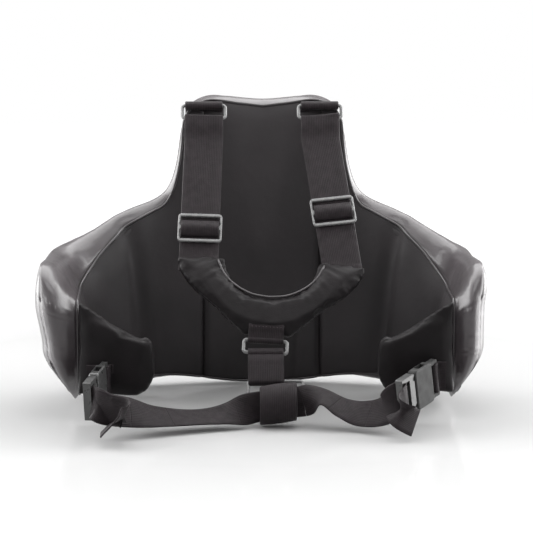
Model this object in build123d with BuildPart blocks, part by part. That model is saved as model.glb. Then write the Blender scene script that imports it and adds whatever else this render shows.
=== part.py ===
"""Chest protector: C shaped padded shell with chest flap, shoulder harness, flank wings and waist belt.

Millimetres. X = 0 is the wearer's middle plane, +Y points to the strike face, the wearer stands at -Y
and Z = 0 is the lowest line of the hem, where the protector rests. The pieces are drawn about the middle
of the trunk and written with the middle of the hem's lowest line at the origin.
"""
from build123d import *
from math import cos, hypot, radians, sin
import os

os.makedirs("parts", exist_ok=True)

# ---- driving dimensions -------------------------------------------------------------------------
inner_half_width = 233.0  # half the space for the trunk
inner_depth = 135.0  # depth of the front half ellipse
ellipse_y = -20.0  # where the front curve turns into the straight flanks
end_y = -130.0  # free ends of the C
end_half_width = 229.0
wall = 50.0  # padded thickness of the belly wall
skin = 1.8  # leather and lining thickness
comfort_layer = 12.0
layer_gap = 0.05
chest_half_width = 104.0
chest_top = 386.0
tall = 500.0  # longer than any cut

shoulder_web = 50.0
centre_web = 45.0
belt_web = 38.0
web_thick = 1.6
bar_radius = 2.2
bar_gap = 0.5  # webbing loop to plastic bar

harness_lean = radians(34)
ring_x = 76.0
top_bar_at = 0.0  # distances down the slope of the harness
low_bar_at = 19.0
slider_at = {"left": 181.0, "right": 157.0}
strap_foot_x = {"left": -83.0, "right": 99.0}
strap_foot_at = {"left": 232.0, "right": 243.0}
yoke_turn = -4.0  # the yoke hangs a little lower on the right
yoke_x = 5.0
yoke_at = 285.0
yoke_pad = 10.0
centre_ring_width = 58.0
lower_ring_width = 72.0

wing_axis_x = 221.5
wing_y = -135.0
wing_pad = 11.0
buckle_width = 50.0
buckle_thick = 12.0
socket_length = 48.0
plug_length = 26.0


def inset_copy(outline, inset):
    """The outline's sketch, pulled in by inset, as plain spline edges."""
    if not inset:
        return outline.sketch_local
    with BuildSketch(Plane.XY) as smaller:
        add(outline.sketch_local)
        offset(amount=-inset)
    return smaller.sketch_local.to_splines(tolerance=0.01)


def save(piece, label):
    """Move a finished piece so the middle of the hem is the origin, label it and write it."""
    hem_middle_y = ellipse_y + inner_depth + wall / 2
    finished = piece.part.moved(Location((0, -hem_middle_y, 0)))
    finished.label = label
    export_step(finished, f"parts/{label}.step")


# ---- padded shell -------------------------------------------------------------------------------
hem = [(0, 0), (60, 4), (120, 13), (195, 17)]
flank_foot = [(250, 27), (272, 52), (283, 105)]
shoulder_line = [(286, 150), (280, 185), (262, 208), (235, 224), (200, 238), (165, 246), (140, 252)]
flap_side = [(121, 270), (110, 300), (105, 330), (chest_half_width, 352)]
flap_top = [(96, 374), (68, chest_top), (34, 382), (0, 378)]


def front_outline(inset):
    """Half of the front elevation, mirrored about the middle, pulled in by inset."""
    with BuildSketch(Plane.XZ) as outline:
        with BuildLine():
            low = Line((0, 0), (36, 0))
            foot = Spline(low @ 1, *hem[1:], *flank_foot, shoulder_line[0], tangents=((1, 0), (0, 1)))
            shoulder = Spline(foot @ 1, *shoulder_line[1:], *flap_side, tangents=((0, 1), (0, 1)))
            top = Spline(shoulder @ 1, *flap_top, tangents=((0, 1), (-1, 0)))
            Line(top @ 1, (0, 0))
        make_face()
        mirror(about=Plane.YZ)
    return inset_copy(outline, inset)


def side_outline(inset):
    """Side elevation: full height in front, falling to the low rounded free ends."""
    with BuildSketch(Plane.YZ) as outline:
        with BuildLine():
            Polyline((300, -60), (300, 520), (60, 520), (60, 262))
            slope = Spline((60, 262), (30, 206), (0, 181), (-50, 164), (-100, 158), tangents=((-1, -3), (-1, 0)))
            end_top = RadiusArc(slope @ 1, (end_y, 132), -30)
            end_side = Line(end_top @ 1, (end_y, 62))
            end_foot = RadiusArc(end_side @ 1, (-85, 24), -48)
            Polyline(end_foot @ 1, (20, -6), (20, -60), (300, -60))
        make_face()
    return inset_copy(outline, inset)


def plan_band(near, far):
    """C shaped plan band between two distances outside the wearer's side of the wall."""
    with BuildSketch(Plane.XY) as band:
        for distance, mode in ((far, Mode.ADD), (near, Mode.SUBTRACT)):
            reach = inner_half_width + distance
            with BuildSketch(Plane.XY, mode=mode):
                with BuildLine():
                    deep = inner_depth + distance
                    front = EllipticalCenterArc((0, ellipse_y), reach, deep, arc_size=180)
                    left = Line(front @ 1, (-end_half_width - distance, end_y - 40))
                    across = Line(left @ 1, (end_half_width + distance, end_y - 40))
                    Line(across @ 1, front @ 0)
                make_face()
    return band.sketch_local


def shell_layer(near, far, inset):
    """One padded or sewn layer of the shell."""
    with BuildPart() as layer:
        with BuildSketch(Plane.XY):
            add(plan_band(near, far))
        extrude(amount=tall, both=True)
        with BuildSketch(Plane.XZ):
            add(front_outline(inset))
        extrude(amount=tall, both=True, mode=Mode.INTERSECT)
        with BuildSketch(Plane.YZ):
            add(side_outline(inset))
        extrude(amount=tall, both=True, mode=Mode.INTERSECT)
    return layer


inner_face = skin + layer_gap
comfort_face = inner_face + comfort_layer
outer_face = wall - skin

comfort_foam = shell_layer(inner_face, comfort_face, skin + layer_gap)
save(comfort_foam, "comfort_foam")

impact_foam = shell_layer(comfort_face + layer_gap, outer_face - layer_gap, skin + layer_gap)
save(impact_foam, "impact_foam")

outer_cover = shell_layer(outer_face, wall, 0)
save(outer_cover, "outer_cover")

core = shell_layer(0, wall, skin)
with BuildPart() as gusset_band:
    add(shell_layer(skin, outer_face - layer_gap, 0).part)
    add(core.part, mode=Mode.SUBTRACT)
save(gusset_band, "gusset_band")

panel_seam_x = 78.0
lining = shell_layer(0, skin - layer_gap, 0)
for label, middle, width in (
    ("lining_centre", 0, 2 * panel_seam_x - layer_gap),
    ("lining_left", -panel_seam_x - 250, 500 - layer_gap),
    ("lining_right", panel_seam_x + 250, 500 - layer_gap),
):
    with BuildPart() as panel:
        add(lining.part)
        with Locations((middle, 0, 200)):
            Box(width, 800, 800, mode=Mode.INTERSECT)
    save(panel, label)


def lining_point(x, z, stand_off):
    """A point in front of the lining's front half, stand_off towards the wearer."""
    reach = inner_half_width - stand_off
    return (x, ellipse_y + (inner_depth - stand_off) * (1 - (x / reach) ** 2) ** 0.5, z)


piping_radius = 1.8
stand_off = 2.4
with BuildPart() as seam_piping:
    for side in (-1, 1):
        edge = [(224 * side, 150), (212 * side, 184), (190 * side, 206), (160 * side, 226), (132 * side, 242)]
        with BuildLine() as path:
            Spline(*[lining_point(x, z, stand_off) for x, z in edge])
        with BuildSketch(path.line ^ 0):
            Circle(piping_radius)
        sweep(path=path.line)
save(seam_piping, "seam_piping")


# ---- harness plane ------------------------------------------------------------------------------
down_slope = Vector(0, -sin(harness_lean), -cos(harness_lean))
to_wearer = Vector(0, -cos(harness_lean), sin(harness_lean))
harness_origin = Vector(0, 90, 377)
harness = Plane(origin=harness_origin, x_dir=(1, 0, 0), z_dir=to_wearer)


def on_slope(x, along, turn=0.0):
    """Plane in the harness plane at x, 'along' millimetres down the slope, turned in its own plane."""
    origin = harness.from_local_coords(Vector(x, -along, 0))
    across = Vector(cos(radians(turn)), 0, 0) - down_slope * sin(radians(turn))
    return Plane(origin=origin, x_dir=across, z_dir=to_wearer)


def cross_section(plane, offset_x=0.0):
    """Plane across the webbing: local x runs down the slope, local y towards the wearer."""
    origin = plane.from_local_coords(Vector(offset_x, 0, 0))
    return Plane(origin=origin, x_dir=-plane.y_dir, z_dir=-plane.x_dir)


def wire_ring(plane, width, height):
    """Closed plastic loop with round bars, width and height over the bar centres."""
    half_w = width / 2
    corners = [(-half_w, 0), (half_w, 0), (half_w, -height), (-half_w, -height)]
    with BuildPart() as ring:
        with BuildLine(plane) as path:
            FilletPolyline(*corners, radius=4, close=True)
        with BuildSketch(path.line ^ 0):
            Circle(bar_radius)
        sweep(path=path.line)
    return ring


loop_inner = bar_radius + bar_gap
loop_outer = loop_inner + web_thick
top_ring_span = low_bar_at - top_bar_at

for side, sign in (("left", -1), ("right", 1)):
    ring_plane = on_slope(sign * ring_x, top_bar_at)
    save(wire_ring(ring_plane, shoulder_web + 6, top_ring_span), f"{side}_top_ring")

    # Tab: a webbing loop round the ring's upper bar, running back to the top edge of the flap.
    with BuildPart() as ring_tab:
        with BuildSketch(cross_section(ring_plane, -shoulder_web / 2)):
            Circle(loop_outer)
            with Locations((-8, -2)):
                Rectangle(16, 2 * loop_outer - 4)
            Circle(loop_inner, mode=Mode.SUBTRACT)
        extrude(amount=-shoulder_web)
    save(ring_tab, f"{side}_ring_tab")

# ---- shoulder straps and sliders ----------------------------------------------------------------
strap_level = -3.4  # webbing runs behind the slider's bars
strap_face = strap_level + web_thick / 2
strap_back = strap_level - web_thick / 2 - 1.8  # the sewn-back end makes the loop double
loop_run = 30.0  # from the ring's lower bar to where the loop closes
slider_height = 40.0
slider_width = shoulder_web + 6
slider_thick = 4.0
slider_bar = 4.2
slider_middle_bar = 6.0

for side, sign in (("left", -1), ("right", 1)):
    low_bar = on_slope(sign * ring_x, low_bar_at)
    strap_start = low_bar_at + loop_run
    foot_x = strap_foot_x[side]
    foot_at = strap_foot_at[side]
    foot_slant = 6.5 * -sign
    half_web = shoulder_web / 2

    with BuildPart() as strap:
        # Loop round the ring's lower bar, closing down to the flat run.
        with BuildSketch(cross_section(low_bar, -half_web)):
            with BuildLine():
                Polyline((0, loop_outer), (loop_run, strap_face), (loop_run, strap_back), (0, -loop_outer))
                RadiusArc((0, -loop_outer), (0, loop_outer), loop_outer)
            make_face()
            with BuildLine():
                Polyline((0, loop_inner), (loop_run - 6, strap_level), (0, -loop_inner))
                RadiusArc((0, -loop_inner), (0, loop_inner), loop_inner)
            make_face(mode=Mode.SUBTRACT)
        extrude(amount=-shoulder_web)
        # Flat run down to the yoke.
        with BuildSketch(harness.offset(strap_level - web_thick / 2)):
            with BuildLine():
                Polyline(
                    (sign * ring_x - half_web, -strap_start),
                    (sign * ring_x + half_web, -strap_start),
                    (foot_x + half_web - 2, -foot_at + foot_slant),
                    (foot_x - half_web + 2, -foot_at - foot_slant),
                    close=True,
                )
            make_face()
        extrude(amount=web_thick)
    save(strap, f"{side}_shoulder_strap")

    share = (slider_at[side] - strap_start) / (foot_at - strap_start)
    slider_x = sign * ring_x + share * (foot_x - sign * ring_x)
    slant = (foot_x - sign * ring_x) / (foot_at - strap_start)
    slider_plane = on_slope(slider_x, slider_at[side], turn=slant * 57.3)
    slot = (slider_height - 2 * slider_bar - slider_middle_bar) / 2
    with BuildPart() as slider:
        with BuildSketch(slider_plane):
            RectangleRounded(slider_width, slider_height, 5)
            with GridLocations(0, slot + slider_middle_bar, 1, 2):
                RectangleRounded(shoulder_web + 0.8, slot, 1.5, mode=Mode.SUBTRACT)
        extrude(amount=slider_thick / 2, both=True)
        fillet(slider.faces().filter_by(Axis(slider_plane.origin, slider_plane.z_dir)).edges(), 1.2)
    save(slider, f"{side}_slider")

    # The strap's free end, sewn round the slider's middle bar.
    hump_half = slider_middle_bar / 2 + 5.5
    hump_top = slider_thick / 2 + 0.4
    with BuildPart() as slider_loop:
        with BuildSketch(cross_section(slider_plane, -half_web + 0.6)):
            with BuildLine():
                rim = EllipticalCenterArc((0, -1.8), hump_half, hump_top + 1.8 + web_thick, arc_size=180)
                Line(rim @ 1, rim @ 0)
            make_face()
            with BuildLine():
                inside = EllipticalCenterArc((0, -1.8), hump_half - web_thick, hump_top + 1.8, arc_size=180)
                Line(inside @ 1, inside @ 0)
            make_face(mode=Mode.SUBTRACT)
        extrude(amount=-(shoulder_web - 1.2))
    save(slider_loop, f"{side}_slider_loop")

# ---- yoke ---------------------------------------------------------------------------------------
yoke_plane = on_slope(yoke_x, yoke_at, yoke_turn)
yoke_back = -8.6
arm_inner = (69, 52)
arm_outer = (111, 39)
neck_bottom = 20.0
foot_half = 25.0
yoke_foot = -44.0


def yoke_outline(inset):
    """Y shaped back pad: two arms, a round neck opening and a narrow foot."""
    with BuildSketch(Plane.XY) as outline:
        with BuildLine():
            neck = Spline((0, neck_bottom), (40, 29), arm_inner, tangents=((1, 0), (1, 1.3)))
            arm = Line(neck @ 1, arm_outer)
            waist = [(98, 20), (56, -17), (foot_half, yoke_foot)]
            flank = Spline(arm @ 1, *waist, tangents=((-0.3, -1), (-1, -1)))
            foot = Line(flank @ 1, (0, yoke_foot))
            Line(foot @ 1, neck @ 0)
        make_face()
        mirror(about=Plane.YZ)
    return inset_copy(outline, inset)


yoke_layers = (
    ("yoke_back_cover", 0.0, yoke_back, 1.5),
    ("yoke_foam", 1.5, yoke_back + 1.5 + layer_gap, yoke_pad - 2 * layer_gap),
    ("yoke_front_cover", 0.0, yoke_back + 1.5 + yoke_pad, 1.5),
)
for label, inset, level, thick in yoke_layers:
    with BuildPart() as pad_layer:
        with BuildSketch(yoke_plane.offset(level)):
            add(yoke_outline(inset))
        extrude(amount=thick)
    save(pad_layer, label)

with BuildPart() as yoke_piping:
    with BuildLine(yoke_plane.offset(yoke_back + 1.5 + yoke_pad / 2)) as path:
        half_edge = [(65, 54.5), (38.5, 32.6), (0, neck_bottom + 3.4)]
        other_edge = [(-x, y) for x, y in half_edge[1::-1]]
        Spline(*half_edge, *other_edge, tangents=((-1, -1.3), (-1, 1.3)))
    with BuildSketch(path.line ^ 0):
        Circle(1.7)
    sweep(path=path.line)
save(yoke_piping, "yoke_piping")

# ---- centre strap -------------------------------------------------------------------------------
yoke_front = yoke_back + 3.0 + yoke_pad
tab_bar_below_yoke = 9.0
centre_ring_span = 17.0
ring_a_bar = Plane(
    origin=yoke_plane.from_local_coords(Vector(-1, yoke_foot - tab_bar_below_yoke, 0)),
    x_dir=yoke_plane.x_dir,
    z_dir=to_wearer,
)
save(wire_ring(ring_a_bar, centre_ring_width - 2 * bar_radius, centre_ring_span), "upper_centre_ring")

with BuildPart() as yoke_tab:
    with BuildSketch(cross_section(ring_a_bar, -centre_web / 2 + 0.6)):
        Circle(loop_outer)
        with Locations((-tab_bar_below_yoke / 2 + 0.2, 0)):
            Rectangle(tab_bar_below_yoke - 0.6, 2 * loop_outer - 1.6)
        with Locations((-tab_bar_below_yoke - 6, yoke_front + 0.1 + web_thick / 2)):
            Rectangle(18, web_thick)
        with Locations((-tab_bar_below_yoke + 2, yoke_front + 0.1 + web_thick / 2 - 2)):
            Rectangle(2, web_thick + 4)
        Circle(loop_inner, mode=Mode.SUBTRACT)
    extrude(amount=-(centre_web - 1.2))
save(yoke_tab, "yoke_tab")

ring_a_low = ring_a_bar.from_local_coords(Vector(0, -centre_ring_span, 0))
strap_top = Plane(
    origin=Vector(0, ring_a_low.Y, ring_a_low.Z),
    x_dir=(1, 0, 0),
    z_dir=to_wearer,
)
centre_strap_run = 38.0
strap_inner = loop_inner + 1.9  # room for the ring that hangs a little askew
strap_notch = 3.0  # the webbing is pinched where the offset lower ring takes it
with BuildPart() as centre_strap:
    with BuildSketch(cross_section(strap_top, -centre_web / 2)):
        with Locations((centre_strap_run / 2, 0)):
            SlotCenterToCenter(centre_strap_run, 2 * (strap_inner + web_thick))
            SlotCenterToCenter(centre_strap_run, 2 * strap_inner, mode=Mode.SUBTRACT)
    extrude(amount=-centre_web)
    with BuildSketch(strap_top):
        with Locations((-centre_web / 2, -centre_strap_run)):
            Rectangle(2 * strap_notch, 22)
    extrude(amount=20, both=True, mode=Mode.SUBTRACT)
save(centre_strap, "centre_strap")

lower_ring_span = 22.0
lower_ring_shift = 11.5
ring_b_bar = Plane(
    origin=strap_top.from_local_coords(Vector(lower_ring_shift, -centre_strap_run, 0)),
    x_dir=(1, 0, 0),
    z_dir=to_wearer,
)
save(wire_ring(ring_b_bar, lower_ring_width - 2 * bar_radius, lower_ring_span), "lower_centre_ring")

# ---- wings --------------------------------------------------------------------------------------
buckle_at = {"left": Vector(-195, -151.5, 58), "right": Vector(203, -153.5, 60)}
buckle_dir = {"left": Vector(-0.22, -0.95, -0.16), "right": Vector(-0.6, -0.75, -0.2)}


def buckle_frame(side, along=0.0):
    """Buckle plane at the loop bar: local y along the buckle, local x up its width."""
    forward = buckle_dir[side].normalized()
    up = (Vector(0, 0, 1) - forward * forward.Z).normalized()
    return Plane(origin=buckle_at[side] + forward * along, x_dir=up, z_dir=up.cross(forward))


def wing_outline(inset, root):
    """Right wing in the front elevation, from the root line to its rounded inner corner."""
    with BuildSketch(Plane.XZ) as outline:
        with BuildLine():
            top = Spline((root, 150), (180, 127), (144, 110), tangents=((-1, -0.3), (-1, -0.45)))
            corner = ThreePointArc(top @ 1, (137, 105), (134, 97))
            inner = Line(corner @ 1, (136, 56))
            low = Polyline(inner @ 1, (162, 33), (root, 37))
            Line(low @ 1, top @ 0)
        make_face()
    return inset_copy(outline, inset)


wing_layers = (
    ("wing_foam", 1.5, wing_axis_x, wing_y, wing_pad - layer_gap),
    ("wing_cover", 0.0, wing_axis_x - 1, wing_y - wing_pad / 2 - 0.75, 1.5 - layer_gap),
    ("wing_back", 0.0, wing_axis_x - 1, wing_y + wing_pad / 2 + 0.75, 1.5 - layer_gap),
)
for side, sign in (("left", -1), ("right", 1)):
    for label, inset, root, middle_y, thick in wing_layers:
        with BuildPart() as wing_layer:
            with BuildSketch(Plane.XZ.offset(-middle_y)):
                add(wing_outline(inset, root))
            extrude(amount=thick / 2, both=True)
            if label == "wing_foam":
                # Rolled root that the wing turns on.
                with BuildSketch(Plane.XY.offset(42)):
                    with Locations((wing_axis_x, wing_y)):
                        Circle(wing_pad / 2 - layer_gap)
                extrude(amount=104)
            if sign < 0:
                mirror(about=Plane.YZ, mode=Mode.REPLACE)
        save(wing_layer, f"{side}_{label}")

    frame = buckle_frame(side)
    plate_y = wing_y - wing_pad / 2 - 1.5 - 0.1 - web_thick / 2
    patch_inner = abs(buckle_at[side].X) - 3
    patch_z = buckle_at[side].Z
    patch_tall = 33.0  # clear of the socket arms as the buckle swings
    loop_length = 36.0
    with BuildPart() as patch:
        with Locations((sign * (wing_axis_x - 2 + patch_inner) / 2, plate_y, patch_z)):
            Box(wing_axis_x - 2 - patch_inner, web_thick, patch_tall)
        stub_y = (plate_y + buckle_at[side].Y + loop_outer) / 2
        stub_deep = abs(buckle_at[side].Y + loop_outer - plate_y) + web_thick + 1.5
        with Locations((buckle_at[side].X, stub_y - 0.2, patch_z)):
            Box(3.5, stub_deep - 1, loop_length - 4)
        with BuildSketch(Plane(buckle_at[side], z_dir=frame.x_dir)):
            Circle(loop_outer)
        extrude(amount=loop_length / 2, both=True)
        with BuildSketch(Plane(buckle_at[side], z_dir=frame.x_dir)):
            Circle(loop_inner)
        extrude(amount=loop_length, both=True, mode=Mode.SUBTRACT)
    save(patch, f"{side}_buckle_patch")

# ---- side-release buckles -----------------------------------------------------------------------
cavity_width = 42.0
cavity_thick = 7.4
socket_start = 11.0
prong_width = 5.0
prong_thick = 5.6
prong_x = 17.2
prong_reach = 28.0
plug_start = socket_length + 1.5
belt_bar_at = plug_start + 17.0
plug_bar_radius = 2.0

for side in ("left", "right"):
    frame = buckle_frame(side)
    with BuildPart() as socket:
        with BuildSketch(frame):
            with Locations((0, (socket_start + socket_length) / 2)):
                RectangleRounded(buckle_width, socket_length - socket_start, 5)
        extrude(amount=buckle_thick / 2, both=True)
        fillet(socket.faces().filter_by(Axis(frame.origin, frame.z_dir)).edges(), 2.4)
        # Mouth for the plug and side windows for its prongs.
        with BuildSketch(buckle_frame(side, socket_start + 4)):
            with Locations((0, socket_length / 2)):
                Rectangle(cavity_width, socket_length)
        extrude(amount=cavity_thick / 2, both=True, mode=Mode.SUBTRACT)
        with BuildSketch(frame):
            with Locations((0, 29)):
                Rectangle(buckle_width + 4, 15)
        extrude(amount=cavity_thick / 2, both=True, mode=Mode.SUBTRACT)
        # Side arms and the round bar that the webbing loop holds.
        with BuildSketch(frame):
            with GridLocations(buckle_width - 9, 0, 2, 1):
                with Locations((0, (socket_start + 1) / 2 - 1.5)):
                    RectangleRounded(5, socket_start + 5, 1.5)
        extrude(amount=3.6, both=True)
        with BuildSketch(Plane(frame.origin, z_dir=frame.x_dir)):
            Circle(bar_radius)
        extrude(amount=(buckle_width - 9) / 2, both=True)
    save(socket, f"{side}_socket")

    with BuildPart() as plug:
        with BuildSketch(frame):
            with Locations((0, plug_start + 5)):
                RectangleRounded(buckle_width - 3, 10, 3)
            with GridLocations(buckle_width - 8, 0, 2, 1):
                with Locations((0, plug_start + plug_length / 2)):
                    RectangleRounded(5, plug_length, 2)
            with Locations((0, plug_start + plug_length - 2)):
                RectangleRounded(buckle_width - 3, 4, 1.9)
        extrude(amount=buckle_thick / 2 - 1.2, both=True)
        # Guide tongue between the prongs.
        with BuildSketch(frame):
            with Locations((0, plug_start - 9)):
                Rectangle(8, 19)
        extrude(amount=2.2, both=True)
        bar_plane = buckle_frame(side, belt_bar_at)
        with BuildSketch(Plane(bar_plane.origin, z_dir=frame.x_dir)):
            Circle(plug_bar_radius)
        extrude(amount=(buckle_width - 8) / 2, both=True)
        # Round seats that the prongs bend about.
        with BuildSketch(frame):
            with GridLocations(2 * prong_x, 0, 2, 1):
                with Locations((0, plug_start)):
                    Circle(prong_width / 2 + 0.3)
        extrude(amount=buckle_thick, both=True, mode=Mode.SUBTRACT)
    save(plug, f"{side}_plug")

    for place, across in (("upper", prong_x), ("lower", -prong_x)):
        with BuildPart() as prong:
            with BuildSketch(frame):
                with Locations((across, plug_start)):
                    Circle(prong_width / 2)
                with Locations((across, plug_start - prong_reach / 2)):
                    Rectangle(prong_width - 1.6, prong_reach)
                with Locations((across, plug_start - prong_reach + 4)):
                    RectangleRounded(prong_width, 11, 2)
            extrude(amount=prong_thick / 2, both=True)
        save(prong, f"{side}_{place}_prong")

# ---- waist belt and keeper ----------------------------------------------------------------------
keeper_middle = Vector(14, -154, 28)
keeper_turn = -7.0
keeper_half_depth = 17.6
keeper_half_height = 22.6
keeper_length = 46.0
keeper_axis = Vector(cos(radians(keeper_turn)), 0, -sin(radians(keeper_turn)))
with BuildPart() as keeper:
    with BuildSketch(Plane(keeper_middle, x_dir=(0, 1, 0), z_dir=keeper_axis)):
        Ellipse(keeper_half_depth, keeper_half_height)
        Ellipse(keeper_half_depth - web_thick, keeper_half_height - web_thick, mode=Mode.SUBTRACT)
    extrude(amount=keeper_length / 2, both=True)
save(keeper, "belt_keeper")


def belt_section(spot, along, tilt):
    """Plane across the belt; tilt turns the webbing from upright towards lying flat."""
    flat = Vector(along.Y, -along.X, 0).normalized()
    up = Vector(0, 0, 1)
    width_dir = up * cos(radians(tilt)) - flat * sin(radians(tilt))
    return Plane(origin=spot, x_dir=width_dir, z_dir=along)


def belt_ribbon(stops):
    """Webbing lofted through (x, y, z, tilt) stops."""
    spots = [Vector(x, y, z) for x, y, z, _ in stops]
    with BuildPart() as ribbon:
        for i, stop in enumerate(stops):
            along = spots[min(i + 1, len(stops) - 1)] - spots[max(i - 1, 0)]
            with BuildSketch(belt_section(spots[i], along.normalized(), stop[3])):
                Rectangle(belt_web, web_thick)
        loft()
    return ribbon


belt_end_at = belt_bar_at + 19.0
left_end = buckle_frame("left", belt_end_at).origin
right_end = buckle_frame("right", belt_end_at).origin
belt_stops = [
    (left_end.X, left_end.Y, left_end.Z, 8),
    (-190, -231, 39, 14),
    (-160, -214, 31, 30),
    (-125, -190, 21, 60),
    (-80, -170, 16, 72),
    (-45, -160, 18, 56),
    (-14, -154.5, 24.5, 1),
    (14, -154.5, 28, 1),
    (42, -154.5, 31.5, 1),
    (68, -158, 37, 70),
    (92, -168, 26, 66),
    (115, -182, 22, 45),
    (138, -204, 30, 22),
    (right_end.X, right_end.Y, right_end.Z, 10),
]
save(belt_ribbon(belt_stops), "waist_belt")

tail_stops = {
    "left": [(-170, -246, 36, 15), (-178, -249, 29, 35), (-189, -252, 20, 58), (-197, -253, 12, 70)],
    "right": [(148, -229, 36, 20), (157, -231, 30, 28), (166, -232, 24, 34), (172, -232, 21.5, 36)],
}
for side, stops in tail_stops.items():
    save(belt_ribbon(stops), f"{side}_belt_tail")
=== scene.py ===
"""Looks of a padded chest protector: sewn shell, webbing harness, padded wings and clip buckles."""
from math import cos, pi, radians, sin

import bpy
import numpy as np
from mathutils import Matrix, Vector, kdtree


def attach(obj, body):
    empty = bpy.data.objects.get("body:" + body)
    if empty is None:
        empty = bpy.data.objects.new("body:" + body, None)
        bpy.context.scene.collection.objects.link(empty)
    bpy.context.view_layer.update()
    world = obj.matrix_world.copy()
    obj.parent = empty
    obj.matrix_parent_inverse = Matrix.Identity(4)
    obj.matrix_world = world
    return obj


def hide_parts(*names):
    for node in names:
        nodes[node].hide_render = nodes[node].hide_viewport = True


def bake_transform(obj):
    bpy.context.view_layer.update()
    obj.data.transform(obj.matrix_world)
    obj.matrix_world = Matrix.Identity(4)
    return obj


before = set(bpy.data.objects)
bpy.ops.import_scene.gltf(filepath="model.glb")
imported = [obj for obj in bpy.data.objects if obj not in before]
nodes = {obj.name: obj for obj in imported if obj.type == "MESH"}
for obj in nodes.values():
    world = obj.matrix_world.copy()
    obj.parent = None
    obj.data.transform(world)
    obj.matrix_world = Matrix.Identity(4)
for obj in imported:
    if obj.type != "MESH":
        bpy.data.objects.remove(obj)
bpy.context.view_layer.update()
rng = np.random.default_rng(7)

# ---- driving dimensions, millimetres ---------------------
# Shapes are drawn about the middle of the trunk; the frame's origin is the middle of the hem.
HEM_MIDDLE = np.array([0.0, 140.0, 0.0])
HALF_WIDTH = 233.0  # half the space for the trunk
DEPTH = 135.0  # depth of the front half ellipse
ELLIPSE_Y = -20.0
END_HALF_WIDTH = 229.0
END_Y = -130.0
SHEET = 1.5  # leather and lining
WEB_THICK = 1.8
SHOULDER_WEB = 50.0
CENTRE_WEB = 44.0
BELT_WEB = 38.0
HARNESS_LEAN = radians(34)
HARNESS_ORIGIN = np.array([0.0, 90.0, 377.0])
RING_X = 76.0
LOW_BAR = 19.0
SIDES = (("left", -1), ("right", 1))


# ---- geometry helpers ------------------------------------
STEPS_BETWEEN = 24  # steps between two given points of a curve
WEB_LANES = 9  # points across one face of webbing
STITCH_SIDES = 5
STITCH_STEPS = 200  # steps along a seam when stitches are laid out


def unit(vector):
    """The vector, or each row of an array of vectors, at length one."""
    vector = np.asarray(vector, float)
    return vector / np.linalg.norm(vector, axis=-1, keepdims=True)


def smooth_step(value):
    """0 below 0, 1 above 1 and a soft S between."""
    t = np.clip(value, 0, 1)
    return t * t * (3 - 2 * t)


def run_length(path):
    """Distance along a path at each of its points, from 0."""
    return np.concatenate([[0], np.cumsum(np.linalg.norm(np.diff(path, axis=0), axis=1))])


def curve_through(points, count, closed=False):
    """Evenly spaced points on a Catmull-Rom curve through the given ones."""
    points = np.asarray(points, float)
    if closed:
        padded = np.vstack([points[-1], points, points[:2]])
    else:
        padded = np.vstack([2 * points[0] - points[1], points, 2 * points[-1] - points[-2]])
    t = np.linspace(0, 1, STEPS_BETWEEN, endpoint=False)[:, None]
    pieces = []
    for a, b, c, d in zip(padded, padded[1:], padded[2:], padded[3:]):
        pieces.append(0.5 * (2 * b + (c - a) * t + (2 * a - 5 * b + 4 * c - d) * t**2
                             + (3 * b - a - 3 * c + d) * t**3))
    dense = np.vstack(pieces + [points[:1] if closed else points[-1:]])
    length = run_length(dense)
    at = np.linspace(0, length[-1], count, endpoint=not closed)
    return np.stack([np.interp(at, length, column) for column in dense.T], axis=1)


def wander(count, scale, closed=False):
    """Smooth random values between about -1 and 1, changing every `scale` samples."""
    knots = rng.uniform(-1, 1, max(int(count / scale), 4))
    if closed:
        knots = np.append(knots, knots[0])
    at = np.linspace(0, len(knots) - 1, count)
    low = np.minimum(at.astype(int), len(knots) - 2)
    share = smooth_step(at - low)
    return knots[low] * (1 - share) + knots[low + 1] * share


def new_mesh(name, points, faces, uv=None):
    """A smooth-shaded mesh object from millimetre points; uv is one pair per point."""
    mesh = bpy.data.meshes.new(name)
    mesh.from_pydata(((np.asarray(points, float) - HEM_MIDDLE) / 1000).tolist(), [], faces)
    mesh.polygons.foreach_set("use_smooth", [True] * len(mesh.polygons))
    if uv is not None:
        layer = mesh.uv_layers.new(name="weave")
        loops = np.empty(len(mesh.loops), int)
        mesh.loops.foreach_get("vertex_index", loops)
        layer.data.foreach_set("uv", np.asarray(uv, float)[loops].ravel())
    mesh.update()
    obj = bpy.data.objects.new(name, mesh)
    bpy.context.scene.collection.objects.link(obj)
    return obj


def apply_modifiers(obj):
    """Bakes an object's modifiers into its mesh."""
    evaluated = obj.evaluated_get(bpy.context.evaluated_depsgraph_get())
    mesh = bpy.data.meshes.new_from_object(evaluated)
    obj.modifiers.clear()
    obj.data = mesh


def thicken(obj, thick):
    """Gives a sheet its thickness, on the side away from its normals."""
    solid = obj.modifiers.new("thickness", "SOLIDIFY")
    solid.thickness = thick / 1000
    solid.offset = -1
    apply_modifiers(obj)


def grid_faces(rows, columns, closed=False, flip=False):
    """Quads of a rows by columns grid; closed joins the last column to the first."""
    faces = []
    for r in range(rows - 1):
        for c in range(columns if closed else columns - 1):
            d = (c + 1) % columns
            quad = (r * columns + c, r * columns + d, (r + 1) * columns + d, (r + 1) * columns + c)
            faces.append(quad[::-1] if flip else quad)
    return faces


def tube_faces(rows, sides, closed):
    """Faces of a tube; closed joins its two ends, otherwise they are capped."""
    faces = grid_faces(rows, sides, closed=True)
    last = (rows - 1) * sides
    if closed:
        faces += [(last + k, last + (k + 1) % sides, (k + 1) % sides, k) for k in range(sides)]
    else:
        faces.append(tuple(range(sides))[::-1])
        faces.append(tuple(range(last, rows * sides)))
    return faces


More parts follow.
